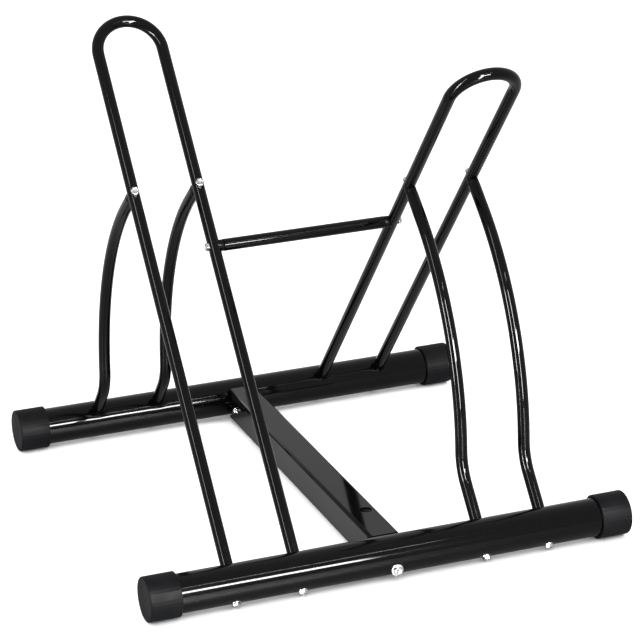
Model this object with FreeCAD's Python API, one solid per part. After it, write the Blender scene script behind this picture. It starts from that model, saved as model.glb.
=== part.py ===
import FreeCAD, Part
import math
import os

# Floor rack that holds two bikes by the wheel, in millimetres.
# X runs along the two base tubes, Y from the front tube to the rear tube, Z up.
# The origin is on the floor, in the middle between the tubes.
# The whole rack looks the same after half a turn about Z.

# Base tubes
overall_length = 652.0
tube_spacing = 573.0
base_radius = 25.0
base_wall = 1.5

# End caps
cap_length = 41.0
cap_radius = 28.8
cap_facets = 36
cap_floor = 4.0
cap_rounding = 2.0
cap_rounding_steps = 5
cap_clearance = 0.1

# Thin tubes of the hoops, the supports and the crossbar
thin_radius = 8.0
thin_wall = 1.5

# Hoops
hoop_spacing = 337.5
leg_spacing = 88.0
lean_angle = 40.4
leg_length = 728.0

# Support tubes
foot_run = 72.0
kink_radius = 66.0
upright_angle = 2.0
upright_run = 5.0
sweep_radius = 373.0

# Seats pressed into the base tubes
foot_seat_sink = 1.8
foot_seat_radius = 9.0
foot_seat_flare = 3.4
foot_seat_margin = 1.5
washer_seat_sink = 0.8
washer_seat_radius = 6.6
head_seat_sink = 0.8

# Saddles between a leg and the end of another tube
saddle_length = 5.0
saddle_radius = 7.6
saddle_neck_radius = 6.9
saddle_neck_length = 1.2
saddle_clearance = 0.05

# Fasteners
bolt_radius = 3.0
bolt_hole_radius = 3.3
thread_clearance = 0.05
head_across_flats = 10.0
head_height = 4.0
head_dimple_radius = 3.2
head_dimple_depth = 0.5
head_chamfer_angle = 30.0
head_sides = 6
tip_chamfer = 0.6
foot_bolt_length = 60.0
joint_bolt_length = 35.0
bar_bolt_length = 60.0
washer_radius = 6.0
washer_thickness = 1.2
wide_washer_radius = 8.0
wide_washer_thickness = 1.5
washer_hole_radius = 3.2
nut_height = 5.2
foot_insert_length = 14.0
joint_insert_length = 16.0
insert_clearance = 0.05

# Connecting bar, a channel open at the bottom
bar_width = 40.0
bar_height = 40.0
bar_sheet = 2.5
bar_bend_radius = 4.0
bar_top_rise = 20.0
bar_bolt_drop = 12.0
rear_bolt_shift = 11.0
bar_washer_sink = 3.5
bar_washer_seat_radius = 8.6
roof_clearance = 0.1
tab_slit = 0.8
tab_trim = 3.0
access_run = 70.0
access_lip = 3.0
anchor_hole_radius = 8.0
anchor_hole_reach = 190.0
anchor_hole_shift = 6.0

# Sizes that follow from the ones above
axis_height = cap_radius * math.cos(math.pi / cap_facets)
half_spacing = tube_spacing / 2
base_half_length = overall_length / 2 - cap_floor
lean = math.radians(lean_angle)
upright = math.radians(upright_angle)
foot_seat_level = base_radius - foot_seat_sink
washer_seat_level = base_radius - washer_seat_sink
head_seat_level = thin_radius - head_seat_sink
joint_end_level = thin_radius + saddle_length
bar_washer_level = base_radius - bar_washer_sink
outer_leg_x = -(hoop_spacing + leg_spacing) / 2
inner_leg_x = -(hoop_spacing - leg_spacing) / 2
hoop_mid_x = -hoop_spacing / 2
left_leg_xs = (outer_leg_x, inner_leg_x)
bar_top = axis_height + bar_top_rise
bar_bottom = bar_top - bar_height
bar_bolt_height = axis_height - bar_bolt_drop
bar_half_length = half_spacing - base_radius
bar_fold_rise = bar_top_rise - bar_bend_radius
bar_roof_reach = half_spacing - math.sqrt(base_radius ** 2 - bar_fold_rise ** 2) - roof_clearance
crossing_height = half_spacing / math.tan(lean)
crossbar_z = axis_height + crossing_height
head_corner_radius = head_across_flats / 2 / math.cos(math.pi / head_sides)
head_bevel = (head_corner_radius - head_across_flats / 2) * math.tan(math.radians(head_chamfer_angle))

# Margin by which a cutting shape runs past the material it cuts
overrun = 1.0


def vec(x, y, z):
    return FreeCAD.Vector(x, y, z)


def on_line(start, direction, distance):
    return start + direction * distance


def half_turn(shape):
    turned = shape.copy()
    turned.rotate(vec(0, 0, 0), vec(0, 0, 1), 180)
    return turned


def aimed(shape, origin, direction):
    """Put a shape drawn along Z onto an origin and a direction."""
    placed = shape.copy()
    placed.Placement = FreeCAD.Placement(origin, FreeCAD.Rotation(vec(0, 0, 1), direction))
    return placed


def rod(origin, direction, radius, start, end):
    """Cylinder on an axis between two distances from the origin."""
    return Part.makeCylinder(radius, end - start, on_line(origin, direction, start), direction)


def box(x0, x1, y0, y1, z0, z1):
    return Part.makeBox(x1 - x0, y1 - y0, z1 - z0, vec(x0, y0, z0))


def turned_profile(points):
    """Solid of revolution about Z from points given as (radius, height)."""
    corners = [vec(radius, 0, height) for radius, height in points]
    outline = Part.Face(Part.makePolygon(corners + corners[:1]))
    return outline.revolve(vec(0, 0, 0), vec(0, 0, 1), 360)


def prism(points, plane_of, along):
    """Flat outline pushed along a vector; plane_of turns two numbers into a point."""
    corners = [plane_of(a, b) for a, b in points]
    return Part.Face(Part.makePolygon(corners + corners[:1])).extrude(along)


# Directions and joints of the left hoop; the right hoop is the half turn of it.
front_axis = vec(0, -half_spacing, axis_height)
rear_axis = vec(0, half_spacing, axis_height)
leg_direction = vec(0, math.sin(lean), math.cos(lean))
support_direction = vec(0, -math.sin(lean), math.cos(lean))
joint_direction = vec(0, -math.cos(lean), math.sin(lean))


def leg_point(x, distance):
    """Point on the axis of a left hoop leg, measured from the front tube's axis."""
    return on_line(vec(x, front_axis.y, front_axis.z), leg_direction, distance)


def climb(angle):
    """Direction in the YZ plane that leans forward by an angle from upright."""
    return vec(0, -math.sin(angle), math.cos(angle))


def spoke(angle):
    """Direction in the YZ plane square to that climb."""
    return vec(0, math.cos(angle), math.sin(angle))


def support_path(x):
    """Corner points of the support's centre line: runs and bends in turn."""
    start = on_line(vec(x, rear_axis.y, rear_axis.z), support_direction, foot_seat_level)
    kink_start = on_line(vec(x, rear_axis.y, rear_axis.z), support_direction, foot_run)
    kink_centre = on_line(kink_start, spoke(lean), kink_radius)
    kink_middle = on_line(kink_centre, spoke((lean + upright) / 2), -kink_radius)
    kink_end = on_line(kink_centre, spoke(upright), -kink_radius)
    sweep_start = on_line(kink_end, climb(upright), upright_run)
    sweep_centre = on_line(sweep_start, spoke(upright), -sweep_radius)
    top_angle = math.pi / 2 - lean
    sweep_middle = on_line(sweep_centre, spoke((upright + top_angle) / 2), sweep_radius)
    sweep_end = on_line(sweep_centre, spoke(top_angle), sweep_radius)
    return start, kink_start, kink_middle, kink_end, sweep_start, sweep_middle, sweep_end


def joint_distance():
    """How far up the leg the support's straight top meets its axis."""
    sweep_end = support_path(outer_leg_x)[-1]
    return (sweep_end - leg_point(outer_leg_x, 0)).dot(leg_direction)


support_joint = joint_distance()
crossbar_end = leg_point(inner_leg_x, crossing_height / math.cos(lean))
crossbar_direction = vec(1, 0, 0)


def hollow_sweep(path, start, direction):
    """Thin round tube along a path of runs and bends."""
    skins = []
    for radius in (thin_radius, thin_radius - thin_wall):
        ring = Part.Wire([Part.makeCircle(radius, start, direction)])
        skins.append(path.makePipeShell([ring], True, False))
    return skins[0].cut(skins[1])


def line(a, b):
    return Part.makeLine(a, b)


def bend(a, middle, b):
    return Part.Arc(a, middle, b).toShape()


def head_seat(origin, direction):
    """Flat pressed into a leg where a bolt head lands, with the bolt hole."""
    flat = rod(origin, direction, thin_radius, head_seat_level, thin_radius + overrun)
    hole = rod(origin, direction, bolt_hole_radius, -thin_radius - overrun, thin_radius + overrun)
    return flat.fuse(hole)


def foot_dish(centre, direction, below):
    """Round dish for the end of a thin tube, or its underside a wall's thickness below."""
    depth = foot_seat_sink + foot_seat_margin + below
    floor_radius = foot_seat_radius + below
    rim_radius = floor_radius + foot_seat_flare * depth / foot_seat_sink
    dish = Part.makeCone(floor_radius, rim_radius, depth)
    return aimed(dish, on_line(centre, direction, foot_seat_level - below), direction)


def flat_seat(centre, direction, radius, level, below):
    """Round flat for a washer, or its underside a wall's thickness below."""
    return rod(centre, direction, radius + below, level - below, base_radius + overrun)


def base_tube(bolt_x):
    """Front base tube; under each pressed seat the wall stays as thick as elsewhere."""
    start = vec(-base_half_length, front_axis.y, front_axis.z)
    along = vec(1, 0, 0)
    skin = Part.makeCylinder(base_radius, 2 * base_half_length, start, along)
    room = Part.makeCylinder(base_radius - base_wall, 2 * base_half_length, start, along)
    past = base_radius + overrun
    holes = []
    for x in (outer_leg_x, inner_leg_x, -inner_leg_x, -outer_leg_x):
        centre = vec(x, front_axis.y, front_axis.z)
        down = leg_direction * -1
        skin = skin.cut(foot_dish(centre, leg_direction, 0))
        room = room.cut(foot_dish(centre, leg_direction, base_wall))
        skin = skin.cut(flat_seat(centre, down, washer_seat_radius, washer_seat_level, 0))
        room = room.cut(flat_seat(centre, down, washer_seat_radius, washer_seat_level, base_wall))
        holes.append(rod(centre, leg_direction, bolt_hole_radius, -past, past))
    outward = vec(0, -1, 0)
    centre = vec(bolt_x, front_axis.y, bar_bolt_height)
    skin = skin.cut(flat_seat(centre, outward, bar_washer_seat_radius, bar_washer_level, 0))
    room = room.cut(flat_seat(centre, outward, bar_washer_seat_radius, bar_washer_level, base_wall))
    holes.append(rod(centre, outward, bolt_hole_radius, -past, past))
    tube = skin.cut(room)
    for hole in holes:
        tube = tube.cut(hole)
    return tube


def end_cap(side):
    """Moulded cup pushed over a base tube end; facets run along its outside."""
    bore = base_radius + cap_clearance
    edge_radius = cap_radius - cap_rounding
    profile = [(0, 0), (edge_radius, 0)]
    for step in range(1, cap_rounding_steps):
        turn = math.pi / 2 * step / cap_rounding_steps
        profile.append((edge_radius + cap_rounding * math.sin(turn), cap_rounding * (1 - math.cos(turn))))
    profile.extend([
        (cap_radius, cap_rounding), (cap_radius, cap_length), (bore, cap_length),
        (bore, cap_floor), (0, cap_floor),
    ])
    corners = []
    for number in range(cap_facets):
        turn = math.pi / cap_facets * (2 * number + 1)
        corners.append((cap_radius * math.cos(turn), cap_radius * math.sin(turn)))
    hull = prism(corners, lambda a, b: vec(a, b, 0), vec(0, 0, cap_length))
    cup = turned_profile(profile).common(hull)
    return aimed(cup, vec(side * overall_length / 2, front_axis.y, front_axis.z), vec(-side, 0, 0))


def hoop():
    """Left hoop: two legs and a half ring, square-cut at both feet."""
    left_foot = leg_point(outer_leg_x, foot_seat_level)
    left_top = leg_point(outer_leg_x, leg_length)
    crown = on_line(leg_point(hoop_mid_x, leg_length), leg_direction, leg_spacing / 2)
    right_top = leg_point(inner_leg_x, leg_length)
    right_foot = leg_point(inner_leg_x, foot_seat_level)
    path = Part.Wire([
        line(left_foot, left_top),
        bend(left_top, crown, right_top),
        line(right_top, right_foot),
    ])
    tube = hollow_sweep(path, left_foot, leg_direction)
    for x in left_leg_xs:
        tube = tube.cut(head_seat(leg_point(x, support_joint), joint_direction))
    return tube.cut(head_seat(crossbar_end, crossbar_direction * -1))


def support(x):
    """Curved tube of the left pair, from its seat on the rear tube to its saddle."""
    start, kink_start, kink_middle, kink_end, sweep_start, sweep_middle, sweep_end = support_path(x)
    top = on_line(leg_point(x, support_joint), joint_direction, -joint_end_level)
    path = Part.Wire([
        line(start, kink_start),
        bend(kink_start, kink_middle, kink_end),
        line(kink_end, sweep_start),
        bend(sweep_start, sweep_middle, sweep_end),
        line(sweep_end, top),
    ])
    return hollow_sweep(path, start, support_direction)


def crossbar():
    """Straight tube between the two inner legs, where they cross."""
    reach = -inner_leg_x - joint_end_level
    middle = vec(0, 0, crossbar_z)
    skin = rod(middle, crossbar_direction, thin_radius, -reach, reach)
    return skin.cut(rod(middle, crossbar_direction, thin_radius - thin_wall, -reach, reach))


def saddle(leg_origin, leg_axis, toward_tube):
    """Plastic collar: hollowed to the leg at one end, flat against the tube at the other."""
    neck_start = joint_end_level - saddle_neck_length
    collar = turned_profile([
        (bolt_hole_radius, 0), (saddle_radius, 0), (saddle_radius, neck_start),
        (saddle_neck_radius, neck_start), (saddle_neck_radius, joint_end_level),
        (bolt_hole_radius, joint_end_level),
    ])
    collar = aimed(collar, leg_origin, toward_tube)
    reach = 2 * thin_radius
    return collar.cut(rod(leg_origin, leg_axis, thin_radius + saddle_clearance, -reach, reach))


def insert(origin, direction, start, length):
    """Threaded plug fixed inside the end of a thin tube."""
    plug = rod(origin, direction, thin_radius - thin_wall - insert_clearance, start, start + length)
    return plug.cut(rod(origin, direction, bolt_radius + thread_clearance, start, start + length))


def hex_prism(height):
    corners = []
    for number in range(head_sides):
        turn = 2 * math.pi / head_sides * number
        corners.append((head_corner_radius * math.cos(turn), head_corner_radius * math.sin(turn)))
    return prism(corners, lambda a, b: vec(a, b, 0), vec(0, 0, height))


def bolt(origin, direction, head_level, length):
    """Hex bolt whose head sits against the seat at head_level behind the origin."""
    crown = turned_profile([
        (0, 0), (head_corner_radius, 0), (head_corner_radius, head_height - head_bevel),
        (head_across_flats / 2, head_height), (0, head_height),
    ])
    dimple_floor = vec(0, 0, head_height - head_dimple_depth)
    dimple = Part.makeCylinder(head_dimple_radius, head_dimple_depth + overrun, dimple_floor)
    head = hex_prism(head_height).common(crown).cut(dimple)
    shank = turned_profile([
        (0, 0), (bolt_radius, 0), (bolt_radius, -length + tip_chamfer),
        (bolt_radius - tip_chamfer, -length), (0, -length),
    ])
    return aimed(head.fuse(shank), on_line(origin, direction, -head_level), direction * -1)


def washer(origin, direction, radius, level, thickness):
    ring = rod(origin, direction, radius, level, level + thickness)
    return ring.cut(rod(origin, direction, washer_hole_radius, level, level + thickness))


def nut(origin, direction, level):
    bore = bolt_radius + thread_clearance
    flat_radius = head_across_flats / 2
    crown = turned_profile([
        (bore, 0), (flat_radius, 0), (head_corner_radius, head_bevel),
        (head_corner_radius, nut_height - head_bevel), (flat_radius, nut_height), (bore, nut_height),
    ])
    body = hex_prism(nut_height).common(crown)
    return aimed(body, on_line(origin, direction, level), direction)


def rounded_roof(half, bottom, top, radius, reach):
    """Long block over the floor with its two upper edges rounded."""
    low_left = vec(-half, -reach, bottom)
    low_right = vec(half, -reach, bottom)
    right_side = vec(half, -reach, top - radius)
    left_side = vec(-half, -reach, top - radius)
    right_top = vec(half - radius, -reach, top)
    left_top = vec(-half + radius, -reach, top)
    inset = radius * (1 - math.sqrt(0.5))
    right_middle = vec(half - inset, -reach, top - inset)
    left_middle = vec(-half + inset, -reach, top - inset)
    outline = Part.Wire([
        line(low_left, low_right),
        line(low_right, right_side),
        bend(right_side, right_middle, right_top),
        line(right_top, left_top),
        bend(left_top, left_middle, left_side),
        line(left_side, low_left),
    ])
    return Part.Face(outline).extrude(vec(0, 2 * reach, 0))


def bolting_tab(wall_inside, inner_bend):
    """Tab at the bar's rear end, folded inwards from the right wall and free of the roof."""
    low = bar_bottom + tab_trim
    turn = vec(bar_width / 2 - bar_bend_radius, bar_half_length - bar_bend_radius, low)
    slant = vec(math.sqrt(0.5), math.sqrt(0.5), 0)
    outer_start = turn + vec(bar_bend_radius, 0, 0)
    outer_end = turn + vec(0, bar_bend_radius, 0)
    inner_start = turn + vec(0, inner_bend, 0)
    inner_end = turn + vec(inner_bend, 0, 0)
    tip_outer = vec(tab_slit - wall_inside, outer_end.y, low)
    tip_inner = vec(tab_slit - wall_inside, inner_start.y, low)
    outline = Part.Wire([
        bend(outer_start, turn + slant * bar_bend_radius, outer_end),
        line(outer_end, tip_outer),
        line(tip_outer, tip_inner),
        line(tip_inner, inner_start),
        bend(inner_start, turn + slant * inner_bend, inner_end),
        line(inner_end, outer_start),
    ])
    height = bar_top - bar_bend_radius - tab_slit - low
    return Part.Face(outline).extrude(vec(0, 0, height))


def connecting_bar():
    """Folded channel with a roof that runs on to the base tubes and a tab at each end."""
    half_width = bar_width / 2
    wall_inside = half_width - bar_sheet
    inner_bend = bar_bend_radius - bar_sheet
    reach = bar_half_length
    past_roof = bar_roof_reach + overrun
    fold_level = bar_top - bar_bend_radius
    shell = rounded_roof(half_width, bar_bottom, bar_top, bar_bend_radius, bar_roof_reach)
    room = rounded_roof(wall_inside, bar_bottom, bar_top - bar_sheet, inner_bend, bar_roof_reach)
    shell = shell.cut(room)
    wall_end = box(-half_width - overrun, half_width + overrun, reach, past_roof,
                   bar_bottom - overrun, fold_level)
    tab_corner = box(wall_inside - overrun, half_width + overrun, reach - bar_bend_radius, past_roof,
                     bar_bottom - overrun, fold_level)
    tab = bolting_tab(wall_inside, inner_bend)
    for shape in (wall_end, tab_corner):
        shell = shell.cut(shape).cut(half_turn(shape))
    shell = shell.fuse(tab).fuse(half_turn(tab)).removeSplitter()
    opening = prism([
        (past_roof, bar_top - bar_sheet), (reach - access_run, bar_top - bar_sheet),
        (reach, bar_bottom + access_lip), (past_roof, bar_bottom + access_lip),
    ], lambda a, b: vec(-half_width - overrun, a, b), vec(bar_sheet + overrun, 0, 0))
    shell = shell.cut(opening).cut(half_turn(opening))
    hole = Part.makeCylinder(anchor_hole_radius, 2 * bar_sheet + overrun,
                             vec(anchor_hole_shift, -anchor_hole_reach, bar_top - 2 * bar_sheet))
    shell = shell.cut(hole).cut(half_turn(hole))
    for bolt_x, end in ((0, -1), (-rear_bolt_shift, 1)):
        centre = vec(bolt_x, end * reach, bar_bolt_height)
        shell = shell.cut(rod(centre, vec(0, 1, 0), bolt_hole_radius, -2 * bar_sheet, 2 * bar_sheet))
    return shell


def foot_fasteners(centre, direction):
    """Bolt and washer from below a base tube, and the insert in the tube end above it."""
    screw = bolt(centre, direction, washer_seat_level + washer_thickness, foot_bolt_length)
    ring = washer(centre, direction * -1, washer_radius, washer_seat_level, washer_thickness)
    plug = insert(centre, direction, foot_seat_level, foot_insert_length)
    return screw, ring, plug


def bar_fasteners(bolt_x):
    """Bolt, outside washer, inside washer and nut of the bar's front joint."""
    centre = vec(bolt_x, front_axis.y, bar_bolt_height)
    inward = vec(0, 1, 0)
    outward = vec(0, -1, 0)
    tab_level = base_radius + bar_sheet
    screw = bolt(centre, inward, bar_washer_level + wide_washer_thickness, bar_bolt_length)
    outside = washer(centre, outward, wide_washer_radius, bar_washer_level, wide_washer_thickness)
    inside = washer(centre, inward, washer_radius, tab_level, washer_thickness)
    lock = nut(centre, inward, tab_level + washer_thickness)
    return screw, outside, inside, lock


front_tube = base_tube(0)
rear_tube = half_turn(base_tube(rear_bolt_shift))
front_left_cap = end_cap(-1)
front_right_cap = end_cap(1)
left_hoop = hoop()
left_outer_support = support(outer_leg_x)
left_inner_support = support(inner_leg_x)

# Feet: the same bolt, washer and insert hold every hoop leg and every support.
hoop_foot_bolts = []
hoop_foot_washers = []
hoop_foot_inserts = []
support_foot_bolts = []
support_foot_washers = []
support_foot_inserts = []
for x in left_leg_xs:
    screw, ring, plug = foot_fasteners(vec(x, front_axis.y, front_axis.z), leg_direction)
    hoop_foot_bolts.append(screw)
    hoop_foot_washers.append(ring)
    hoop_foot_inserts.append(plug)
    screw, ring, plug = foot_fasteners(vec(x, rear_axis.y, rear_axis.z), support_direction)
    support_foot_bolts.append(screw)
    support_foot_washers.append(ring)
    support_foot_inserts.append(plug)

# Joints where a support meets its leg
joint_bolts = []
support_saddles = []
joint_inserts = []
for x in left_leg_xs:
    centre = leg_point(x, support_joint)
    inward = joint_direction * -1
    joint_bolts.append(bolt(centre, inward, head_seat_level, joint_bolt_length))
    support_saddles.append(saddle(centre, leg_direction, inward))
    joint_inserts.append(insert(centre, inward, joint_end_level, joint_insert_length))

# Left end of the crossbar
crossbar_bolt = bolt(crossbar_end, crossbar_direction, head_seat_level, joint_bolt_length)
crossbar_saddle = saddle(crossbar_end, leg_direction, crossbar_direction)
crossbar_insert = insert(crossbar_end, crossbar_direction, joint_end_level, joint_insert_length)

front_screw, front_outside, front_inside, front_nut = bar_fasteners(0)
rear_fasteners = [half_turn(shape) for shape in bar_fasteners(rear_bolt_shift)]
rear_screw, rear_outside, rear_inside, rear_nut = rear_fasteners


def with_twins(shapes):
    """Shapes of the left side together with their half-turned twins."""
    return shapes + [half_turn(shape) for shape in shapes]


nodes = {
    "front_base_tube": [front_tube],
    "rear_base_tube": [rear_tube],
    "front_left_end_cap": [front_left_cap],
    "front_right_end_cap": [front_right_cap],
    "rear_right_end_cap": [half_turn(front_left_cap)],
    "rear_left_end_cap": [half_turn(front_right_cap)],
    "connecting_bar": [connecting_bar()],
    "left_hoop": [left_hoop],
    "right_hoop": [half_turn(left_hoop)],
    "left_outer_support": [left_outer_support],
    "left_inner_support": [left_inner_support],
    "right_outer_support": [half_turn(left_outer_support)],
    "right_inner_support": [half_turn(left_inner_support)],
    "crossbar": [crossbar()],
    "support_saddles": with_twins(support_saddles),
    "crossbar_saddles": with_twins([crossbar_saddle]),
    "hoop_foot_inserts": with_twins(hoop_foot_inserts),
    "support_foot_inserts": with_twins(support_foot_inserts),
    "support_top_inserts": with_twins(joint_inserts),
    "crossbar_inserts": with_twins([crossbar_insert]),
    "hoop_foot_bolts": with_twins(hoop_foot_bolts),
    "hoop_foot_washers": with_twins(hoop_foot_washers),
    "support_foot_bolts": with_twins(support_foot_bolts),
    "support_foot_washers": with_twins(support_foot_washers),
    "support_top_bolts": with_twins(joint_bolts),
    "crossbar_bolts": with_twins([crossbar_bolt]),
    "bar_bolts": [front_screw, rear_screw],
    "bar_outside_washers": [front_outside, rear_outside],
    "bar_inside_washers": [front_inside, rear_inside],
    "bar_nuts": [front_nut, rear_nut],
}

os.makedirs("parts", exist_ok=True)
for name, shapes in nodes.items():
    solids = [solid for shape in shapes for solid in shape.Solids]
    node = solids[0] if len(solids) == 1 else Part.makeCompound(solids)
    node.exportStep("parts/" + name + ".step")
    print(name, len(solids), "solids", round(node.Volume, 1), node.isValid())
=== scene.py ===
import math

import bmesh
import bpy
import numpy as np
from mathutils import Matrix, Vector


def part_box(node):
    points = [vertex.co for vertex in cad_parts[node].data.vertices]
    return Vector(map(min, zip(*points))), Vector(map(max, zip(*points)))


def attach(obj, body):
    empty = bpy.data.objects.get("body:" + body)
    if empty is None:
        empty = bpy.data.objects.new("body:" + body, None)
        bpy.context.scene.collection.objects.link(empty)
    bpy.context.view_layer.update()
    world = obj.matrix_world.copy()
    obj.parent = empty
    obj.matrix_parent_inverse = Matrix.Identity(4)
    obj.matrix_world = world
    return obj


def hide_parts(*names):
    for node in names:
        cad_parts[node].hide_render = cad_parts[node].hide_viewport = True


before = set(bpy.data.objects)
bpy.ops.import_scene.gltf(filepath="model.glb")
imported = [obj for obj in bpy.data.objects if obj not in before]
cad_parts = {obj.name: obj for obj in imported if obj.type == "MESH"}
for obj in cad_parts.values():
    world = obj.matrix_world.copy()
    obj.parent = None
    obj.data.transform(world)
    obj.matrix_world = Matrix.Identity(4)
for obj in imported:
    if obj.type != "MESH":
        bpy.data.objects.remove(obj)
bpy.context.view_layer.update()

bl_info = {
    "name": "Floor bike rack",
    "version": (1, 0, 0),
    "blender": (4, 5, 0),
    "location": "View3D > Sidebar > Bike rack",
    "description": "Finishes the two-bike floor rack and sets it on a plain studio floor",
    "category": "Object",
}

BODY = "root"
INSERTS = (
    "hoop_foot_inserts", "support_foot_inserts", "support_top_inserts", "crossbar_inserts",
)

# Fasteners, in metres
ACROSS_FLATS = 0.010
HEAD_HEIGHT = 0.004
NUT_HEIGHT = 0.0052
SHANK_RADIUS = 0.0030
THREAD_ROOT = 0.0026
PITCH = 0.001
PLAIN_SHARE = 0.45
CHAMFER_SLOPE = math.tan(math.radians(30))
CHAMFER_DEPTHS = (0.0001, 0.0003, 0.0006, 0.0010)
FOOT_BOLT = 0.060
JOINT_BOLT = 0.035
BAR_BOLT = 0.060
WASHER_RADIUS = 0.006
WASHER_THICKNESS = 0.0012
WIDE_WASHER_RADIUS = 0.008
WIDE_WASHER_THICKNESS = 0.0015

# Where the pieces meet, in metres
SHALLOW_SINK = 0.0008
BAR_WASHER_SINK = 0.0035
SADDLE_LENGTH = 0.005
BAR_SHEET = 0.0025
BAR_BOLT_DROP = 0.012
REAR_BOLT_SHIFT = 0.011

# Pressed seats: radius of the flat, slope of its rim, softness of its edge
FOOT_DISH = (0.009, 0.5, 0.0006)
WASHER_SEAT = (0.0066, 0.8, 0.0002)
BAR_WASHER_SEAT = (0.0086, 2.0, 0.0002)
HEAD_SEAT = (0.0075, 0.5, 0.0001)

# How finely the meshes are made, with angles in degrees
FASTENER_SIDES = 72
WASHER_SIDES = 64
BASE_SIDES = 96
BASE_RING_STEP = 0.0022
MERGE_DISTANCE = 0.000002
FLAT_ANGLE = 0.5
SMOOTH_ANGLE = 40
FASTENER_SMOOTH_ANGLE = 30

# Slope of the bar's faces in their shading, as on a bar that is a little out of true
BAR_TWIST = 0.0113

# Lamps that show only in the gloss: name, place, size and power
GLOSS_LAMPS = (
    ("front_window", (0.36, -2.6, 1.12), (0.96, 0.4), 170.0),
    ("front_strip", (0.64, -1.75, 1.95), (0.66, 0.03), 5.0),
    ("front_panel", (0.0, -1.85, 0.8), (0.2, 1.5), 130.0),
    ("left_panel", (-2.4, -1.05, 0.7), (0.3, 1.3), 160.0),
    ("left_top_panel", (-2.4, -0.9, 2.1), (0.3, 1.4), 40.0),
)
LAMP_AIM = Vector((0.0, 0.0, 0.2))


class Term:
    """A node's outlet that can stand in a Python expression."""

    def __init__(self, wiring, socket):
        self.wiring = wiring
        self.socket = socket

    def math(self, operation, *terms):
        return self.wiring.node("ShaderNodeMath", {"operation": operation}, dict(enumerate(terms)))

    def __add__(self, other):
        return self.math("ADD", self, other)

    def __sub__(self, other):
        return self.math("SUBTRACT", self, other)

    def __mul__(self, other):
        return self.math("MULTIPLY", self, other)


class Wiring:
    """A node tree that is filled from Python."""

    def __init__(self, tree):
        self.tree = tree
        tree.nodes.clear()

    def node(self, kind, settings=None, inputs=None, outlet=0):
        made = self.tree.nodes.new(kind)
        for key, setting in (settings or {}).items():
            setattr(made, key, setting)
        for key, term in (inputs or {}).items():
            if isinstance(term, Term):
                self.tree.links.new(term.socket, made.inputs[key])
            else:
                made.inputs[key].default_value = term
        return Term(self, made.outputs[outlet] if made.outputs else None)


class Recipe(Wiring):
    """The node tree of one finish."""

    def __init__(self, name, owner=None):
        self.owner = owner or bpy.data.materials.new(name)
        self.owner.use_nodes = True
        super().__init__(self.owner.node_tree)

    def place(self):
        return self.node("ShaderNodeTexCoord", outlet="Object")

    def noise(self, scale, detail=3.0, roughness=0.5):
        return self.node("ShaderNodeTexNoise", {}, {
            "Vector": self.place(), "Scale": scale, "Detail": detail, "Roughness": roughness,
        })

    def spread(self, term, low, high, new_low, new_high):
        return self.node("ShaderNodeMapRange", {"interpolation_type": "SMOOTHSTEP"}, {
            "Value": term, "From Min": low, "From Max": high, "To Min": new_low, "To Max": new_high,
        })

    def blend(self, factor, first, second):
        sockets = {0: factor, 6: first, 7: second}
        return self.node("ShaderNodeMix", {"data_type": "RGBA"}, sockets, outlet=2)

    def bump(self, height, distance, strength=1.0):
        inputs = {"Height": height, "Distance": distance, "Strength": strength}
        return self.node("ShaderNodeBump", {}, inputs)

    def surface(self, **sockets):
        names = {key.replace("_", " "): term for key, term in sockets.items()}
        shader = self.node("ShaderNodeBsdfPrincipled", {}, names)
        self.node("ShaderNodeOutputMaterial", {}, {"Surface": shader})
        return self.owner


class Blueprint(Wiring):
    """A Geometry Nodes tree with a named input for each of its sizes."""

    def __init__(self, name, **inputs):
        super().__init__(bpy.data.node_groups.new(name, "GeometryNodeTree"))
        kinds = {"Geometry": "NodeSocketGeometry", **inputs, "Finish": "NodeSocketMaterial"}
        for label, kind in kinds.items():
            name = label.replace("_", " ")
            self.tree.interface.new_socket(name=name, in_out="INPUT", socket_type=kind)
        self.tree.interface.new_socket(
            name="Geometry", in_out="OUTPUT", socket_type="NodeSocketGeometry")
        self.entry = self.tree.nodes.new("NodeGroupInput")

    def given(self, label):
        return Term(self, self.entry.outputs[label])

    def named(self, label, kind="FLOAT"):
        return self.node("GeometryNodeInputNamedAttribute", {"data_type": kind}, {"Name": label})

    def deliver(self, shape):
        whole = self.node("GeometryNodeRealizeInstances", {}, {"Geometry": shape})
        coated = {"Geometry": whole, "Material": self.given("Finish")}
        done = self.node("GeometryNodeSetMaterial", {}, coated)
        self.node("NodeGroupOutput", {}, {"Geometry": done})
        return self

    def run(self, seed, **sizes):
        """Run the tree on a mesh and keep the result as a plain mesh."""
        holder = bpy.data.objects.new("seed", seed)
        bpy.context.scene.collection.objects.link(holder)
        modifier = holder.modifiers.new("seed", "NODES")
        modifier.node_group = self.tree
        for socket in self.tree.interface.items_tree:
            key = socket.name.replace(" ", "_")
            if socket.in_out == "INPUT" and key in sizes:
                modifier[socket.identifier] = sizes[key]
        graph = bpy.context.evaluated_depsgraph_get()
        mesh = bpy.data.meshes.new_from_object(holder.evaluated_get(graph), depsgraph=graph)
        holder.modifiers.remove(modifier)
        bpy.data.objects.remove(holder)
        if not mesh.polygons:
            raise RuntimeError("the tree " + self.tree.name + " gave no faces")
        return mesh


def rgba(colour):
    return (colour[0], colour[1], colour[2], 1.0)


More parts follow.
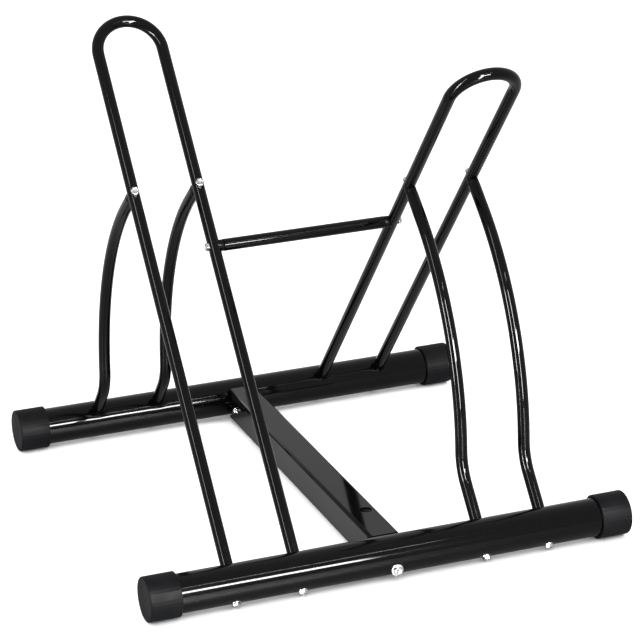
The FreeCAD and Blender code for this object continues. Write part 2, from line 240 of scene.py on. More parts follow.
def gloss_paint(colour, name="gloss_black_coat", twist=0.0):
    """Black powder coat with a faint orange peel and a little dust; a twist tilts its shading."""
    mix = Recipe(name)
    cloudy = mix.noise(9.0, 2.0)
    peel = mix.noise(380.0, 1.0)
    specks = mix.noise(900.0, 0.0)
    dust = mix.spread(specks, 0.7, 0.8, 0.0, 1.0) * mix.spread(cloudy, 0.4, 0.65, 0.02, 0.2)
    dust_colour = (0.02, 0.02, 0.021)
    shade = mix.blend(dust, rgba(colour), rgba(dust_colour))
    rough = mix.spread(cloudy, 0.35, 0.65, 0.05, 0.08) + dust * 0.1
    across = mix.node("ShaderNodeSeparateXYZ", inputs={"Vector": mix.place()})
    peel_height = 0.0000012
    height = peel * peel_height - across * twist
    return mix.surface(
        Base_Color=shade, Roughness=rough, IOR=1.21, Normal=mix.bump(height, 1.0),
    )


def moulded_plastic(name, colour, rough_low, rough_high, grain):
    """Moulded plastic with a fine spark-eroded grain and soft uneven patches."""
    mix = Recipe(name)
    cloudy = mix.noise(26.0, 3.0)
    scuffs = mix.noise(140.0, 4.0, 0.7)
    fine = mix.noise(grain, 2.0, 0.6)
    darker = tuple(part * 0.72 for part in colour)
    paler = tuple(part * 1.9 for part in colour)
    shade = mix.blend(mix.spread(cloudy, 0.35, 0.65, 0.0, 1.0), rgba(darker), rgba(colour))
    shade = mix.blend(mix.spread(scuffs, 0.62, 0.74, 0.0, 0.6), shade, rgba(paler))
    return mix.surface(
        Base_Color=shade, Roughness=mix.spread(cloudy, 0.3, 0.7, rough_low, rough_high),
        IOR=1.18, Specular_IOR_Level=0.3, Normal=mix.bump(fine, 0.0001, 0.5),
    )


def zinc_plate(colour):
    """Bright zinc plate, slightly cloudy, with fine scratches."""
    mix = Recipe("bright_zinc")
    cloudy = mix.noise(260.0, 3.0, 0.6)
    fine = mix.noise(1500.0, 2.0)
    darker = tuple(part * 0.6 for part in colour)
    shade = mix.blend(mix.spread(cloudy, 0.35, 0.7, 0.0, 1.0), rgba(darker), rgba(colour))
    return mix.surface(
        Base_Color=shade, Roughness=mix.spread(cloudy, 0.3, 0.7, 0.16, 0.3), Metallic=1.0,
        Normal=mix.bump(fine, 0.00003, 0.5),
    )


class RackSizes(bpy.types.PropertyGroup):
    tube_spacing: bpy.props.FloatProperty(
        name="Base tube spacing", description="Distance between the axes of the two base tubes",
        subtype="DISTANCE", unit="LENGTH", default=0.573,
    )
    base_radius: bpy.props.FloatProperty(
        name="Base tube radius", description="Outer radius of a base tube",
        subtype="DISTANCE", unit="LENGTH", default=0.025,
    )
    thin_radius: bpy.props.FloatProperty(
        name="Thin tube radius", description="Outer radius of the hoops, supports and crossbar",
        subtype="DISTANCE", unit="LENGTH", default=0.008,
    )
    wall: bpy.props.FloatProperty(
        name="Tube wall", description="Wall thickness of the steel tubes",
        subtype="DISTANCE", unit="LENGTH", default=0.0015,
    )
    hoop_spacing: bpy.props.FloatProperty(
        name="Hoop spacing", description="Distance between the middles of the two hoops",
        subtype="DISTANCE", unit="LENGTH", default=0.3375,
    )
    leg_spacing: bpy.props.FloatProperty(
        name="Leg spacing", description="Distance between the axes of a hoop's two legs",
        subtype="DISTANCE", unit="LENGTH", default=0.088,
    )
    leg_length: bpy.props.FloatProperty(
        name="Leg length", description="From the base tube's axis to where a hoop's half ring starts",
        subtype="DISTANCE", unit="LENGTH", default=0.728,
    )
    lean: bpy.props.FloatProperty(
        name="Lean", description="How far the hoops lean from upright",
        subtype="ANGLE", default=math.radians(40.4),
    )
    foot_run: bpy.props.FloatProperty(
        name="Support foot", description="From the base tube's axis to the support's first bend",
        subtype="DISTANCE", unit="LENGTH", default=0.072,
    )
    kink_radius: bpy.props.FloatProperty(
        name="First bend", description="Radius of the support's short bend above its foot",
        subtype="DISTANCE", unit="LENGTH", default=0.066,
    )
    upright: bpy.props.FloatProperty(
        name="Upright part", description="How far the support leans between its two bends",
        subtype="ANGLE", default=math.radians(2.0),
    )
    upright_run: bpy.props.FloatProperty(
        name="Straight between bends", description="Length of the support between its two bends",
        subtype="DISTANCE", unit="LENGTH", default=0.005,
    )
    sweep_radius: bpy.props.FloatProperty(
        name="Sweep", description="Radius of the support's long bend",
        subtype="DISTANCE", unit="LENGTH", default=0.373,
    )
    foot_sink: bpy.props.FloatProperty(
        name="Foot dish", description="Depth of the dish pressed into a base tube for a thin tube",
        subtype="DISTANCE", unit="LENGTH", default=0.0018,
    )


class RackFinish(bpy.types.PropertyGroup):
    coat: bpy.props.FloatVectorProperty(
        name="Coat", description="Colour of the powder coat on the steel tubes and the bar",
        subtype="COLOR", size=3, min=0.0, max=1.0, default=(0.0024, 0.0024, 0.0027),
    )
    cap: bpy.props.FloatVectorProperty(
        name="End caps", description="Colour of the moulded end caps",
        subtype="COLOR", size=3, min=0.0, max=1.0, default=(0.0075, 0.0079, 0.0092),
    )
    saddle: bpy.props.FloatVectorProperty(
        name="Saddles", description="Colour of the plastic saddles at the joints",
        subtype="COLOR", size=3, min=0.0, max=1.0, default=(0.004, 0.004, 0.0042),
    )
    zinc: bpy.props.FloatVectorProperty(
        name="Fasteners", description="Colour of the zinc-plated bolts, washers and nuts",
        subtype="COLOR", size=3, min=0.0, max=1.0, default=(0.52, 0.53, 0.55),
    )


class RackStudio(bpy.types.PropertyGroup):
    eye: bpy.props.FloatVectorProperty(
        name="Camera", description="Where the camera stands, in the rack's own frame",
        subtype="TRANSLATION", unit="LENGTH", size=3, default=(-1.2600, -3.3526, 1.6104),
    )
    heading: bpy.props.FloatProperty(
        name="Heading", description="Turn of the camera to the right of straight ahead",
        subtype="ANGLE", default=0.364684,
    )
    tilt: bpy.props.FloatProperty(
        name="Tilt", description="How far the camera looks down",
        subtype="ANGLE", default=0.364462,
    )
    roll: bpy.props.FloatProperty(
        name="Roll", description="Turn of the camera about its own line of sight",
        subtype="ANGLE", default=0.017639,
    )
    lens: bpy.props.FloatProperty(
        name="Lens", description="Focal length on a 36 mm wide sensor",
        subtype="DISTANCE_CAMERA", unit="CAMERA", default=163.545,
    )
    floor: bpy.props.FloatVectorProperty(
        name="Floor", description="Colour of the floor",
        subtype="COLOR", size=3, min=0.0, max=1.0, default=(0.8, 0.8, 0.8),
    )


class Layout:
    """Axes and corner points of the left hoop and its supports, in the rack's frame."""

    def __init__(self, sizes):
        self.sizes = sizes
        self.half = sizes.tube_spacing / 2
        self.height = frame_height()
        self.leg_xs = (
            -(sizes.hoop_spacing + sizes.leg_spacing) / 2,
            -(sizes.hoop_spacing - sizes.leg_spacing) / 2,
        )
        self.leg = self.climb(-sizes.lean)
        self.foot = self.climb(sizes.lean)
        self.seat = sizes.base_radius - sizes.foot_sink
        self.joint = -self.climb(math.pi / 2 - sizes.lean)

    def climb(self, angle):
        return Vector((0.0, -math.sin(angle), math.cos(angle)))

    def front(self, x):
        return Vector((x, -self.half, self.height))

    def rear(self, x):
        return Vector((x, self.half, self.height))

    def hoop_corners(self):
        """Corners of the hoop's centre line, each with its bending radius."""
        outer, inner = (self.front(x) for x in self.leg_xs)
        bend = self.sizes.leg_spacing / 2
        top = self.leg * (self.sizes.leg_length + bend)
        start = self.leg * self.seat
        return [(outer + start, 0.0), (outer + top, bend), (inner + top, bend), (inner + start, 0.0)]

    def support_corners(self, x):
        """Corners of a support's centre line up to the leg, each with its bending radius."""
        sizes = self.sizes
        steep = self.climb(sizes.upright)
        flat = self.climb(math.pi / 2 - sizes.lean)
        first = sizes.kink_radius * math.tan((sizes.lean - sizes.upright) / 2)
        second = sizes.sweep_radius * math.tan((math.pi / 2 - sizes.lean - sizes.upright) / 2)
        kink = self.rear(x) + self.foot * (sizes.foot_run + first)
        sweep = kink + steep * (first + sizes.upright_run + second)
        joint = self.meeting(x, sweep, flat)
        return [
            (self.rear(x) + self.foot * self.seat, 0.0), (kink, sizes.kink_radius),
            (sweep, sizes.sweep_radius), (joint, 0.0),
        ]

    def meeting(self, x, corner, direction):
        """Point on the leg's axis that the support's straight top runs to."""
        reach = (self.front(x) - corner).dot(direction)
        return corner + direction * reach


def frame_height():
    """Height of the base tubes' axes, from the front tube's own box."""
    low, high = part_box("front_base_tube")
    return (low.z + high.z) / 2


def half_turn(point):
    return Vector((-point.x, -point.y, point.z))


def new_mesh(name, points, faces):
    mesh = bpy.data.meshes.new(name)
    mesh.from_pydata([tuple(point) for point in points], [], faces)
    mesh.update()
    return mesh


def turned(rings, sides):
    """Closed solid about Z from rings; a ring is a height and a radius or a radius for each side."""
    angles = np.arange(sides) * 2 * math.pi / sides
    points = []
    for height, radius in rings:
        radii = np.broadcast_to(radius, (sides,))
        level = np.full(sides, height)
        points.append(np.stack([radii * np.cos(angles), radii * np.sin(angles), level], axis=1))
    points = np.concatenate(points)
    faces = []
    for ring in range(len(rings) - 1):
        for side in range(sides):
            after = (side + 1) % sides
            low, high = ring * sides, (ring + 1) * sides
            faces.append((low + side, low + after, high + after, high + side))
    return points, faces


def hex_radii(across_flats, sides):
    """Distance from the axis to a hexagon's edge, with slightly rounded corners."""
    angles = np.arange(sides) * 2 * math.pi / sides
    within = (angles + math.pi / 6) % (math.pi / 3) - math.pi / 6
    corner_share = 1.125
    return np.minimum(across_flats / 2 / np.cos(within), across_flats / 2 * corner_share)


def chamfered(radii, depth, top_radius):
    """Radii of a hexagon, at a depth below its face, where a turned chamfer trims its corners."""
    return np.minimum(radii, top_radius + depth / CHAMFER_SLOPE)


def outward(mesh):
    """Merge doubles and turn every face outwards."""
    work = bmesh.new()
    work.from_mesh(mesh)
    bmesh.ops.remove_doubles(work, verts=work.verts, dist=MERGE_DISTANCE)
    bmesh.ops.recalc_face_normals(work, faces=work.faces)
    work.to_mesh(mesh)
    work.free()
    return mesh


def smooth(mesh, angle):
    """Shade a mesh smoothly, except over edges sharper than an angle in degrees."""
    mesh.shade_smooth()
    mesh.set_sharp_from_angle(angle=math.radians(angle))
    return mesh


def hex_bolt(name, length):
    """Hex-head bolt along Z: head above zero, shank with thread below."""
    hexagon = hex_radii(ACROSS_FLATS, FASTENER_SIDES)
    height = HEAD_HEIGHT
    dimple = height - 0.0005
    rings = [
        (dimple, 0.0), (dimple, 0.0026), (height - 0.0004, 0.0030),
        (height - 0.0001, 0.0032), (height, 0.0035), (height, 0.0045),
    ]
    for depth in CHAMFER_DEPTHS:
        rings.append((height - depth, chamfered(hexagon, depth, 0.00475)))
    rings += [(0.0005, hexagon), (0.0002, hexagon * 0.995), (0.0, np.minimum(hexagon, 0.0047))]
    rings += [(0.0, 0.0032), (-0.0003, SHANK_RADIUS)]
    thread_start = -length * PLAIN_SHARE
    rings.append((thread_start, SHANK_RADIUS))
    unthreaded_end = 0.0015
    count = int((length * (1 - PLAIN_SHARE) - unthreaded_end) / PITCH)
    for turn in range(count):
        level = thread_start - turn * PITCH
        rings += [
            (level - PITCH * 0.1, SHANK_RADIUS), (level - PITCH * 0.5, THREAD_ROOT),
            (level - PITCH * 0.9, SHANK_RADIUS),
        ]
    rings += [(0.0006 - length, 0.0029), (-length, 0.0024), (-length, 0.0)]
    points, faces = turned(rings, FASTENER_SIDES)
    return smooth(outward(new_mesh(name, points, faces)), FASTENER_SMOOTH_ANGLE)


def hex_nut(name):
    """Hex nut along Z with a chamfer on both faces and a threaded bore."""
    hexagon = hex_radii(ACROSS_FLATS, FASTENER_SIDES)
    height = NUT_HEIGHT
    bore = 0.0027
    crown = 0.0047
    rings = [(0.0006, bore), (0.0, 0.0033), (0.0, 0.0045)]
    for depth in CHAMFER_DEPTHS:
        rings.append((depth, chamfered(hexagon, depth, crown)))
    for depth in reversed(CHAMFER_DEPTHS):
        rings.append((height - depth, chamfered(hexagon, depth, crown)))
    rings += [(height, 0.0045), (height, 0.0033), (height - 0.0006, bore)]
    for turn in range(4):
        level = height - 0.0008 - turn * PITCH
        rings += [(level - PITCH * 0.1, 0.0031), (level - PITCH * 0.5, bore)]
    rings.append(rings[0])
    points, faces = turned(rings, FASTENER_SIDES)
    return smooth(outward(new_mesh(name, points, faces)), FASTENER_SMOOTH_ANGLE)


def flat_washer(name, radius, thickness):
    """Punched washer along Z, with one edge rounded by the press."""
    edge = 0.0003
    bore = 0.0032
    rings = [
        (0.0, bore), (0.0, radius - edge * 0.5), (edge * 0.3, radius), (thickness - edge, radius),
        (thickness - edge * 0.3, radius - edge * 0.3), (thickness, radius - edge),
        (thickness, bore + edge), (thickness - edge, bore), (0.0, bore),
    ]
    points, faces = turned(rings, WASHER_SIDES)
    return smooth(outward(new_mesh(name, points, faces)), SMOOTH_ANGLE)


def bent_tube_blueprint():
    """Tree that bends a line of corners on their radii and sweeps a round tube along it."""
    tree = Blueprint("bent_tube", Radius="NodeSocketFloat", Sides="NodeSocketInt",
                     Bend_steps="NodeSocketInt", Step="NodeSocketFloat")
    corners = tree.node("GeometryNodeMeshToCurve", {}, {"Mesh": tree.given("Geometry")})
    bent = tree.node("GeometryNodeFilletCurve", {"mode": "POLY"}, {
        "Curve": corners, "Count": tree.given("Bend steps"), "Radius": tree.named("bend"),
        "Limit Radius": True,
    })
    even = tree.node("GeometryNodeResampleCurve", {"mode": "LENGTH"}, {
        "Curve": bent, "Length": tree.given("Step"),
    })
    ring = tree.node("GeometryNodeCurvePrimitiveCircle", {}, {
        "Resolution": tree.given("Sides"), "Radius": tree.given("Radius"),
    })
    skin = tree.node("GeometryNodeCurveToMesh", {}, {
        "Curve": even, "Profile Curve": ring, "Fill Caps": True,
    })
    return tree.deliver(skin)


def pattern_blueprint():
    """Tree that stands a copy of one part on every point, along the point's own direction."""
    tree = Blueprint("part_pattern", Part="NodeSocketObject")
    part = tree.node("GeometryNodeObjectInfo", {}, {"Object": tree.given("Part")}, "Geometry")
    aim = tree.node("FunctionNodeAlignRotationToVector", {"axis": "Z"}, {
        "Vector": tree.named("aim", "FLOAT_VECTOR"),
    })
    copies = tree.node("GeometryNodeInstanceOnPoints", {}, {
        "Points": tree.given("Geometry"), "Instance": part, "Rotation": aim,
    })
    spin = tree.node("ShaderNodeCombineXYZ", {}, {"Z": tree.named("turn")})
    turned_copies = tree.node("GeometryNodeRotateInstances", {}, {
        "Instances": copies, "Rotation": spin, "Local Space": True,
    })
    return tree.deliver(turned_copies)


def corner_line(corners):
    """Mesh of joined edges through corner points, each with its bending radius."""
    mesh = bpy.data.meshes.new("corners")
    edges = [(index, index + 1) for index in range(len(corners) - 1)]
    mesh.from_pydata([tuple(point) for point, _ in corners], edges, [])
    bends = mesh.attributes.new("bend", "FLOAT", "POINT")
    bends.data.foreach_set("value", [radius for _, radius in corners])
    return mesh


def spots(places):
    """Mesh of loose points, each with a direction and a turn about it."""
    mesh = bpy.data.meshes.new("spots")
    mesh.from_pydata([tuple(point) for point, _, _ in places], [], [])
    aims = mesh.attributes.new("aim", "FLOAT_VECTOR", "POINT")
    aims.data.foreach_set("vector", [value for _, aim, _ in places for value in aim])
    turns = mesh.attributes.new("turn", "FLOAT", "POINT")
    turns.data.foreach_set("value", [turn for _, _, turn in places])
    return mesh


def with_twins(places):
    """Places on the left side together with their half-turned twins, each turned on a little."""
    turn_on = 0.4
    twins = [(half_turn(point), half_turn(aim), turn + turn_on) for point, aim, turn in places]
    return places + twins


def press(points, origin, direction, level, radius, slope, softness):
    """Push the points of one tube down to a round flat on an axis, with a soft rim.

    Points behind the axis or well above the flat belong to other stretches and stay.
    """
    away = points - np.array(origin)
    along = np.array(direction)
    height = away @ along
    aside = np.linalg.norm(away - np.outer(height, along), axis=1)
    limit = level + np.maximum(aside - radius, 0.0) * slope
    gap = height - limit
    lowered = limit + (gap - np.sqrt(gap ** 2 + softness ** 2)) / 2
    own_reach = 1.5
    own = (height > 0) & (height < level * own_reach)
    change = np.where(own, lowered - height, 0.0)
    return points + np.outer(change, along)


def mesh_points(mesh):
    flat = np.empty(len(mesh.vertices) * 3)
    mesh.vertices.foreach_get("co", flat)
    return flat.reshape(-1, 3)


def put_points(mesh, points):
    mesh.vertices.foreach_set("co", points.reshape(-1))
    mesh.update()


def show(name, mesh, finish, slot, *nodes):
    """Stand a finished mesh in for its CAD nodes."""
    mesh.name = name
    mesh.materials.clear()
    mesh.materials.append(finish)
    piece = bpy.data.objects.new(name, mesh)
    bpy.context.scene.collection.objects.link(piece)
    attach(piece, BODY)
    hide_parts(*nodes)


def softened(node, width, angle):
    """Merged copy of a CAD node's mesh with its sharp edges rounded off."""
    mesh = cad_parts[node].data.copy()
    work = bmesh.new()
    work.from_mesh(mesh)
    bmesh.ops.remove_doubles(work, verts=work.verts, dist=MERGE_DISTANCE)
    bmesh.ops.dissolve_limit(
        work, angle_limit=math.radians(FLAT_ANGLE), verts=work.verts, edges=work.edges)
    bmesh.ops.recalc_face_normals(work, faces=work.faces)
    work.to_mesh(mesh)
    work.free()
    holder = bpy.data.objects.new("softened", mesh)
    bpy.context.scene.collection.objects.link(holder)
    bevel = holder.modifiers.new("edges", "BEVEL")
    bevel.width = width
    bevel.segments = 2
    bevel.limit_method = "ANGLE"
    bevel.angle_limit = math.radians(angle)
    bevel.harden_normals = True
    graph = bpy.context.evaluated_depsgraph_get()
    result = bpy.data.meshes.new_from_object(holder.evaluated_get(graph), depsgraph=graph)
    holder.modifiers.remove(bevel)
    bpy.data.objects.remove(holder)
    return result


def dress(nodes, material):
    """Give carried-over solids a finish; their meshes stay as they are."""
    for name in nodes:
        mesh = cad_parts[name].data
        mesh.materials.clear()
        mesh.materials.append(material)


def coat_finish(context):
    """The tubes' coat, which is made once and then shared."""
    made = bpy.data.materials.get("gloss_black_coat")
    return made or gloss_paint(context.scene.rack_finish.coat)


def thin_tube(corners, sizes, finish):
    """Thin tube swept along its corners."""
    mesh = bent_tube_blueprint().run(
        corner_line(corners), Radius=sizes.thin_radius, Sides=44, Bend_steps=240, Step=0.0025,
        Finish=finish)
    return outward(mesh)


def turned_copy(mesh):
    twin = mesh.copy()
    twin.transform(Matrix.Rotation(math.pi, 4, "Z"))
    return twin


class RACK_OT_bend_hoops(bpy.types.Operator):
    """Bend the two hoops and press the flats for the bolt heads into their legs"""
    bl_idname = "rack.bend_hoops"
    bl_label = "Bend the hoops"

    def execute(self, context):
        sizes = context.scene.rack_sizes
        layout = Layout(sizes)
        finish = coat_finish(context)
        hoop = thin_tube(layout.hoop_corners(), sizes, finish)
        points = mesh_points(hoop)
        level = sizes.thin_radius - SHALLOW_SINK
        for x in layout.leg_xs:
            centre = layout.support_corners(x)[-1][0]
            points = press(points, centre, -layout.joint, level, *HEAD_SEAT)
        low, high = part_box("crossbar_saddles")
        centre = Vector((layout.leg_xs[1], 0.0, (low.z + high.z) / 2))
        points = press(points, centre, (-1.0, 0.0, 0.0), level, *HEAD_SEAT)
        put_points(hoop, points)
        smooth(hoop, SMOOTH_ANGLE)
        show("left_hoop_tube", hoop, finish, "gloss_black_paint", "left_hoop")
        show("right_hoop_tube", turned_copy(hoop), finish, "gloss_black_paint", "right_hoop")
        return {"FINISHED"}


class RACK_OT_bend_supports(bpy.types.Operator):
    """Bend the four curved supports from their feet to the saddles on the legs"""
    bl_idname = "rack.bend_supports"
    bl_label = "Bend the supports"

    def execute(self, context):
        sizes = context.scene.rack_sizes
        layout = Layout(sizes)
        finish = coat_finish(context)
        names = ("outer_support", "inner_support")
        for x, name in zip(layout.leg_xs, names):
            corners = layout.support_corners(x)
            joint = corners[-1][0]
            end = joint + layout.joint * (sizes.thin_radius + SADDLE_LENGTH)
            corners[-1] = (end, 0.0)
            tube = smooth(thin_tube(corners, sizes, finish), SMOOTH_ANGLE)
            show("left_%s_tube" % name, tube, finish, "gloss_black_paint", "left_" + name)
            show("right_%s_tube" % name, turned_copy(tube), finish, "gloss_black_paint",
                 "right_" + name)
        return {"FINISHED"}


class RACK_OT_cut_crossbar(bpy.types.Operator):
    """Cut the straight crossbar between the two inner legs"""
    bl_idname = "rack.cut_crossbar"
    bl_label = "Cut the crossbar"

    def execute(self, context):
        sizes = context.scene.rack_sizes
        low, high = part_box("crossbar")
        level = (low.z + high.z) / 2
        ends = [(Vector((low.x, 0.0, level)), 0.0), (Vector((high.x, 0.0, level)), 0.0)]
        finish = coat_finish(context)
        bar = smooth(thin_tube(ends, sizes, finish), SMOOTH_ANGLE)
        show("crossbar_tube", bar, finish, "gloss_black_paint", "crossbar")
        return {"FINISHED"}


def hollow_tube(half_length, centre, radius, wall, presses):
    """Thick-walled tube along X with seats pressed into it."""
    rings = int(half_length * 2 / BASE_RING_STEP)
    sides = BASE_SIDES
    xs = np.linspace(-half_length, half_length, rings)
    angles = np.arange(sides) * 2 * math.pi / sides
    shells = []
    for depth in (0.0, wall):
        reach = radius - depth
        grid = np.empty((rings, sides, 3))
        grid[:, :, 0] = xs[:, None]
        grid[:, :, 1] = centre.y + reach * np.cos(angles)
        grid[:, :, 2] = centre.z + reach * np.sin(angles)
        points = grid.reshape(-1, 3)
        for origin, direction, level, flat, slope, softness in presses:
            points = press(points, origin, direction, level - depth, flat + depth, slope, softness)
        shells.append(points)
    count = rings * sides
    faces = []
    for ring in range(rings - 1):
        for side in range(sides):
            a = ring * sides + side
            b = ring * sides + (side + 1) % sides
            faces.append((a, b, b + sides, a + sides))
            faces.append((count + b, count + a, count + a + sides, count + b + sides))
    last = (rings - 1) * sides
    for side in range(sides):
        after = (side + 1) % sides
        faces.append((after, side, count + side, count + after))
        faces.append((last + side, last + after, count + last + after, count + last + side))
    return new_mesh("hollow_tube", np.concatenate(shells), faces)


class RACK_OT_press_base_tubes(bpy.types.Operator):
    """Draw the two base tubes and press the dishes and washer seats into them"""
    bl_idname = "rack.press_base_tubes"
    bl_label = "Press the base tubes"

    def execute(self, context):
        sizes = context.scene.rack_sizes
        layout = Layout(sizes)
        finish = coat_finish(context)
        low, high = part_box("front_base_tube")
        radius = sizes.base_radius
        feet = layout.leg_xs + tuple(-x for x in layout.leg_xs)
        for name, bolt_x in (("front", 0.0), ("rear", REAR_BOLT_SHIFT)):
            presses = []
            for x in feet:
                foot = layout.front(x)
                presses.append((foot, layout.leg, layout.seat, *FOOT_DISH))
                presses.append((foot, -layout.leg, radius - SHALLOW_SINK, *WASHER_SEAT))
            bolt = Vector((bolt_x, -layout.half, layout.height - BAR_BOLT_DROP))
            outwards = Vector((0.0, -1.0, 0.0))
            presses.append((bolt, outwards, radius - BAR_WASHER_SINK, *BAR_WASHER_SEAT))
            centre = layout.front(0.0)
            tube = hollow_tube((high.x - low.x) / 2, centre, radius, sizes.wall, presses)
            if name == "rear":
                tube.transform(Matrix.Rotation(math.pi, 4, "Z"))
            smooth(outward(tube), SMOOTH_ANGLE)
            show(name + "_base_tube_pressed", tube, finish, "gloss_black_paint",
                 name + "_base_tube")
        return {"FINISHED"}


class RACK_OT_fold_bar(bpy.types.Operator):
    """Break the connecting bar's edges, and coat it so that it looks a little out of true"""
    bl_idname = "rack.fold_bar"
    bl_label = "Fold the bar"

    def execute(self, context):
        bar = softened("connecting_bar", width=0.0003, angle=40)
        coat = gloss_paint(context.scene.rack_finish.coat, "gloss_black_coat_on_bar", BAR_TWIST)
        show("folded_bar", bar, coat, "gloss_black_paint", "connecting_bar")
        return {"FINISHED"}


class RACK_OT_mould_plastics(bpy.types.Operator):
    """Mould the faceted end caps and the saddles at the joints"""
    bl_idname = "rack.mould_plastics"
    bl_label = "Mould the plastics"

    def execute(self, context):
        finish = context.scene.rack_finish
        cap_plastic = moulded_plastic(
            "cap_plastic", finish.cap, rough_low=0.48, rough_high=0.6, grain=1300.0)
        for name in ("front_left", "front_right", "rear_right", "rear_left"):
            cap = softened(name + "_end_cap", width=0.0003, angle=8)
            show(name + "_moulded_cap", cap, cap_plastic, "black_plastic", name + "_end_cap")
        saddle_plastic = moulded_plastic(
            "saddle_plastic", finish.saddle, rough_low=0.25, rough_high=0.38, grain=1800.0)
        for name in ("support_saddles", "crossbar_saddles"):
            saddle = softened(name, width=0.0002, angle=35)
            show("moulded_" + name, saddle, saddle_plastic, "saddle_plastic", name)
        return {"FINISHED"}


class Fastening:
    """Fits each kind of fastener along the layout's axes as one piece in bright zinc."""

    def __init__(self, sizes, zinc):
        self.sizes = sizes
        self.layout = Layout(sizes)
        self.zinc = zinc
        self.tree = pattern_blueprint()
        self.washer = flat_washer("flat_washer", WASHER_RADIUS, WASHER_THICKNESS)

    def fit(self, name, mesh, places, node):
        source = bpy.data.objects.new("source", mesh)
        bpy.context.scene.collection.objects.link(source)
        result = self.tree.run(spots(places), Part=source, Finish=self.zinc)
        bpy.data.objects.remove(source)
        result = smooth(outward(result), FASTENER_SMOOTH_ANGLE)
        show(name, result, self.zinc, "zinc_plated_steel", node)

    def feet(self):
        """Bolts and washers that hold the hoops and supports from under the base tubes."""
        layout = self.layout
        washer_face = self.sizes.base_radius - SHALLOW_SINK
        head_face = washer_face + WASHER_THICKNESS
        bolt = hex_bolt("foot_bolt", FOOT_BOLT)
        rows = (
            ("hoop_foot", [(layout.front(x), -layout.leg) for x in layout.leg_xs]),
            ("support_foot", [(layout.rear(x), -layout.foot) for x in layout.leg_xs]),
        )
        for name, axes in rows:
            heads = [(point + aim * head_face, aim, 0.3 * index)
                     for index, (point, aim) in enumerate(axes)]
            rings = [(point + aim * washer_face, aim, 0.0) for point, aim in axes]
            self.fit(name + "_hex_bolts", bolt, with_twins(heads), name + "_bolts")
            self.fit(name + "_flat_washers", self.washer, with_twins(rings), name + "_washers")

    def legs(self):
        """Bolts through the legs into the supports' tops and into the crossbar."""
        layout = self.layout
        seat = self.sizes.thin_radius - SHALLOW_SINK
        bolt = hex_bolt("joint_bolt", JOINT_BOLT)
        heads = [(layout.support_corners(x)[-1][0] - layout.joint * seat, -layout.joint, 0.5 + x)
                 for x in layout.leg_xs]
        self.fit("support_top_hex_bolts", bolt, with_twins(heads), "support_top_bolts")
        low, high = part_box("crossbar")
        level = (low.z + high.z) / 2
        side = Vector((-1.0, 0.0, 0.0))
        heads = [(Vector((layout.leg_xs[1] - seat, 0.0, level)), side, 0.2)]
        self.fit("crossbar_hex_bolts", bolt, with_twins(heads), "crossbar_bolts")

    def bar(self):
        """Bolts through the base tubes into the bar's tabs, with their washers and nuts."""
        layout = self.layout
        front = Vector((0.0, -1.0, 0.0))
        drop = Vector((0.0, 0.0, -BAR_BOLT_DROP))
        outer = self.sizes.base_radius - BAR_WASHER_SINK
        tab = self.sizes.base_radius + BAR_SHEET
        shifted = half_turn(layout.front(REAR_BOLT_SHIFT))
        centres = [(layout.front(0.0) + drop, front), (shifted + drop, -front)]
        heads = [(point + aim * (outer + WIDE_WASHER_THICKNESS), aim, 0.25) for point, aim in centres]
        wide = [(point + aim * outer, aim, 0.0) for point, aim in centres]
        inside = [(point - aim * tab, -aim, 0.0) for point, aim in centres]
        nuts = [(point - aim * (tab + WASHER_THICKNESS), -aim, 0.6) for point, aim in centres]
        wide_washer = flat_washer("wide_washer", WIDE_WASHER_RADIUS, WIDE_WASHER_THICKNESS)
        self.fit("bar_hex_bolts", hex_bolt("bar_bolt", BAR_BOLT), heads, "bar_bolts")
        self.fit("bar_wide_washers", wide_washer, wide, "bar_outside_washers")
        self.fit("bar_tab_washers", self.washer, inside, "bar_inside_washers")
        self.fit("bar_hex_nuts", hex_nut("bar_nut"), nuts, "bar_nuts")


class RACK_OT_fit_fasteners(bpy.types.Operator):
    """Fit the bolts, washers and nuts, and plate them and the threaded inserts with zinc"""
    bl_idname = "rack.fit_fasteners"
    bl_label = "Fit the fasteners"

    def execute(self, context):
        zinc = zinc_plate(context.scene.rack_finish.zinc)
        dress(INSERTS, zinc)
        fastening = Fastening(context.scene.rack_sizes, zinc)
        fastening.feet()
        fastening.legs()
        fastening.bar()
        return {"FINISHED"}


def lamp(name, place, size, power, lights=False, shows=True, spared=None):
    """Rectangular lamp that lights the colours, or shows in the gloss, and may spare some pieces."""
    light = bpy.data.lights.new(name, "AREA")
    light.shape = "RECTANGLE"
    light.size, light.size_y = size
    light.energy = power
    holder = bpy.data.objects.new(name, light)
    bpy.context.scene.collection.objects.link(holder)
    aim = (LAMP_AIM - Vector(place)).to_track_quat("-Z", "Y").to_matrix().to_4x4()
    holder.matrix_world = Matrix.Translation(place) @ aim
    holder.visible_camera = False
    holder.visible_diffuse = lights
    holder.visible_glossy = shows
    holder.light_linking.receiver_collection = spared


def seen_by_eye(mix, in_gloss):
    """One for the camera, a share of it in gloss and glass, and zero for light on the object."""
    kinds = ("Is Camera Ray", "Is Glossy Ray", "Is Transmission Ray")
    seen, shown, passed = (mix.node("ShaderNodeLightPath", outlet=kind) for kind in kinds)
    return seen.math("MINIMUM", seen + (shown + passed) * in_gloss, 1.0)


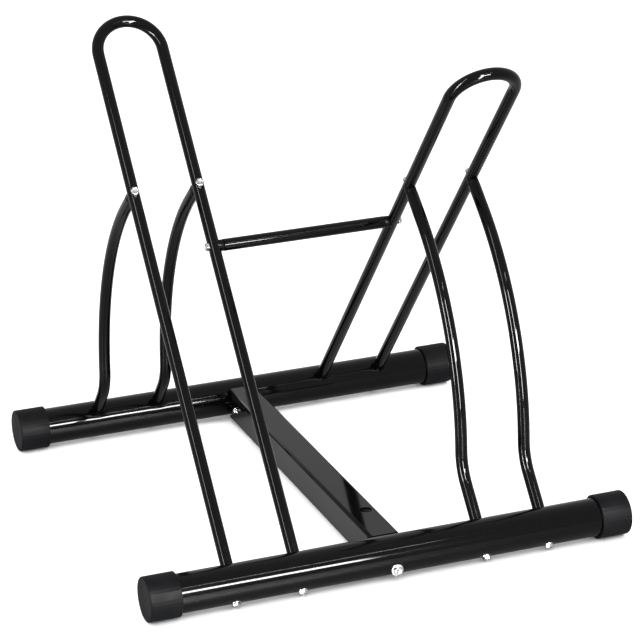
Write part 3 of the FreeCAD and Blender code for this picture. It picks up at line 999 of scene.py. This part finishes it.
def studio_floor(colour):
    """Floor that looks white where nothing shades it and keeps the rack's shadow; ambient occlusion
    dims its glow, a painted shade under the tubes and inside the bar.
    """
    half = 40.0
    corners = [(-half, -half, 0), (half, -half, 0), (half, half, 0), (-half, half, 0)]
    mesh = new_mesh("floor", corners, [(0, 1, 2, 3)])
    floor = bpy.data.objects.new("floor", mesh)
    bpy.context.scene.collection.objects.link(floor)
    mix = Recipe("floor_sheet")
    grain = mix.noise(300.0, 2.0)
    sky_reach = 0.15
    gloss_share = 0.2
    # Painted shade: ambient occlusion dims the floor's glow near the tubes and inside the bar's
    # channel, for the camera and in reflections.
    open_sky = mix.node(
        "ShaderNodeAmbientOcclusion", {"samples": 8}, {"Distance": sky_reach}, "AO")
    seen = seen_by_eye(mix, gloss_share) * mix.spread(open_sky, 0.1, 0.25, 0.0, 1.0)
    glow_with_painted_shade = mix.blend(seen, rgba((0.0, 0.0, 0.0)), rgba((0.7, 0.7, 0.7)))
    mesh.materials.append(mix.surface(
        Base_Color=rgba(colour), Roughness=0.34, Normal=mix.bump(grain, 0.0001, 0.1),
        Emission_Color=glow_with_painted_shade, Emission_Strength=1.0,
    ))


def studio_world():
    """White surroundings for the camera and for reflections, a plain level for the rest."""
    world = bpy.data.worlds.new("studio_world")
    bpy.context.scene.world = world
    mix = Recipe("studio_world", world)
    plain_level = 0.75
    level = seen_by_eye(mix, 1.0) * (1.0 - plain_level) + plain_level
    sky = mix.node("ShaderNodeBackground", {}, {"Color": (1.0, 1.0, 1.0, 1.0), "Strength": level})
    mix.node("ShaderNodeOutputWorld", {}, {"Surface": sky})


def photo_camera(studio):
    """Camera that stands where the photograph was taken from."""
    data = bpy.data.cameras.new("photo_camera")
    data.sensor_fit = "HORIZONTAL"
    data.sensor_width = 36.0
    data.lens = studio.lens
    data.clip_start = 0.05
    data.clip_end = 200.0
    camera = bpy.data.objects.new("photo_camera", data)
    bpy.context.scene.collection.objects.link(camera)
    turn = (
        Matrix.Rotation(-studio.heading, 4, "Z")
        @ Matrix.Rotation(math.pi / 2 - studio.tilt, 4, "X")
        @ Matrix.Rotation(-studio.roll, 4, "Z")
    )
    camera.matrix_world = Matrix.Translation(studio.eye) @ turn
    return camera


class RACK_OT_set_stage(bpy.types.Operator):
    """Set the floor, the soft lamps, the surroundings and the camera"""
    bl_idname = "rack.set_stage"
    bl_label = "Set the stage"

    def execute(self, context):
        studio = context.scene.rack_studio
        studio_floor(studio.floor)
        studio_world()
        flat = bpy.data.collections.new("flat_pieces")
        flat.objects.link(bpy.data.objects["folded_bar"])
        flat.collection_objects[0].light_linking.link_state = "EXCLUDE"
        lamp("top_box", (0.3, -0.6, 2.6), (1.6, 1.6), 24.0, lights=True, shows=False)
        for name, place, size, power in GLOSS_LAMPS:
            lamp(name, place, size, power, spared=flat)
        context.scene.camera = photo_camera(studio)
        context.scene.view_settings.view_transform = "Standard"
        return {"FINISHED"}


class RACK_PT_panel(bpy.types.Panel):
    """Sidebar panel with the rack's sizes, finishes, stage and steps"""
    bl_idname = "RACK_PT_panel"
    bl_label = "Bike rack"
    bl_space_type = "VIEW_3D"
    bl_region_type = "UI"
    bl_category = "Bike rack"

    def draw(self, context):
        layout = self.layout
        scene = context.scene
        for group in (scene.rack_sizes, scene.rack_finish, scene.rack_studio):
            box = layout.box()
            for name in group.bl_rna.properties.keys():
                if name not in ("rna_type", "name"):
                    box.prop(group, name)
        for step in STEPS:
            layout.operator(step.bl_idname)


GROUPS = (RackSizes, RackFinish, RackStudio)
STEPS = (
    RACK_OT_bend_hoops,
    RACK_OT_bend_supports,
    RACK_OT_cut_crossbar,
    RACK_OT_press_base_tubes,
    RACK_OT_fold_bar,
    RACK_OT_mould_plastics,
    RACK_OT_fit_fasteners,
    RACK_OT_set_stage,
)
CLASSES = GROUPS + STEPS + (RACK_PT_panel,)


def register():
    for each in CLASSES:
        bpy.utils.register_class(each)
    bpy.types.Scene.rack_sizes = bpy.props.PointerProperty(type=RackSizes)
    bpy.types.Scene.rack_finish = bpy.props.PointerProperty(type=RackFinish)
    bpy.types.Scene.rack_studio = bpy.props.PointerProperty(type=RackStudio)


def unregister():
    del bpy.types.Scene.rack_studio
    del bpy.types.Scene.rack_finish
    del bpy.types.Scene.rack_sizes
    for each in reversed(CLASSES):
        bpy.utils.unregister_class(each)


def main():
    register()
    for step in STEPS:
        group, name = step.bl_idname.split(".")
        getattr(getattr(bpy.ops, group), name)()


if __name__ == "__main__":
    main()
